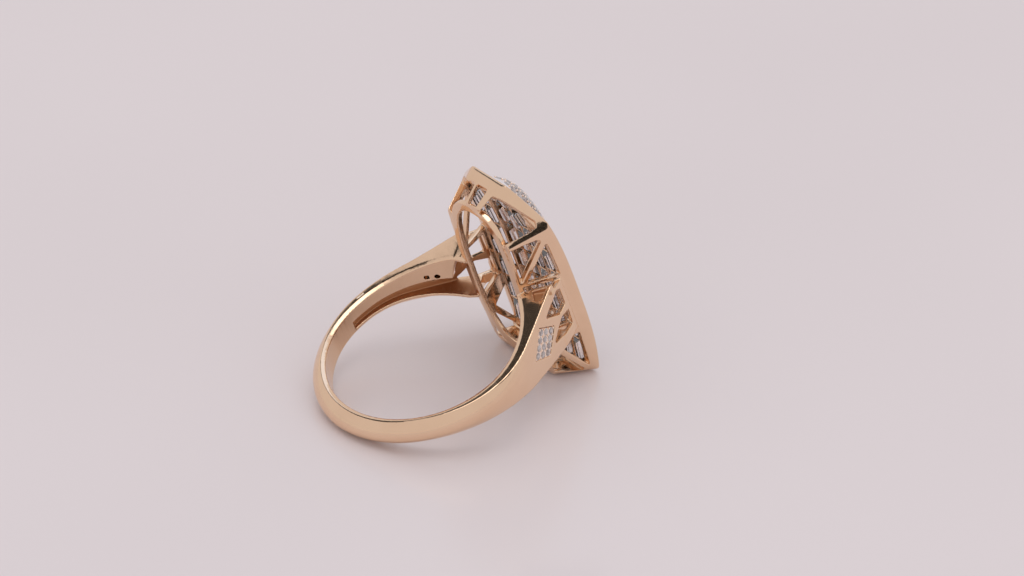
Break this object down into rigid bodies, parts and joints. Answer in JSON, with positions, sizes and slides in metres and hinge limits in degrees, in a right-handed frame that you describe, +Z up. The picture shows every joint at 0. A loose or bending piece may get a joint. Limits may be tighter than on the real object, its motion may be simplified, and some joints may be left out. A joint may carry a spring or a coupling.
{
  "type": "openwork diamond ring",
  "caption": "Rose gold cocktail ring lying on its side, with a long faceted openwork head, channel-set baguette diamonds, a raised paved spine and paved shoulder panels.",
  "frame": {"origin": "on the table under the middle of the bounding box", "axes": "+X runs from the back of the band to the front of the head, +Y across the finger hole, +Z up from the table the ring lies on"},
  "size_m": [0.0244, 0.0194, 0.0192],
  "materials": {
    "rose_gold": "polished rose gold",
    "pave": "small round diamonds set close together in gold beads",
    "diamond": "clear, faceted and polished"
  },
  "bodies": {
    "root": {"ring_frame": "rose_gold", "paved_spine": "pave", "shoulder_panel_far": "pave", "shoulder_panel_near": "pave", "baguette_inner_far_1": "diamond", "baguette_inner_far_2": "diamond", "baguette_inner_far_3": "diamond", "baguette_inner_far_4": "diamond", "baguette_inner_far_5": "diamond", "baguette_inner_far_6": "diamond", "baguette_inner_far_7": "diamond", "baguette_inner_near_1": "diamond", "baguette_inner_near_2": "diamond", "baguette_inner_near_3": "diamond", "baguette_inner_near_4": "diamond", "baguette_inner_near_5": "diamond", "baguette_inner_near_6": "diamond", "baguette_inner_near_7": "diamond", "baguette_outer_far_1": "diamond", "baguette_outer_far_2": "diamond", "baguette_outer_far_3": "diamond", "baguette_outer_far_4": "diamond", "baguette_outer_far_5": "diamond", "baguette_outer_far_6": "diamond", "baguette_outer_near_1": "diamond", "baguette_outer_near_2": "diamond", "baguette_outer_near_3": "diamond", "baguette_outer_near_4": "diamond", "baguette_outer_near_5": "diamond", "baguette_outer_near_6": "diamond"}
  },
  "joints": []
}
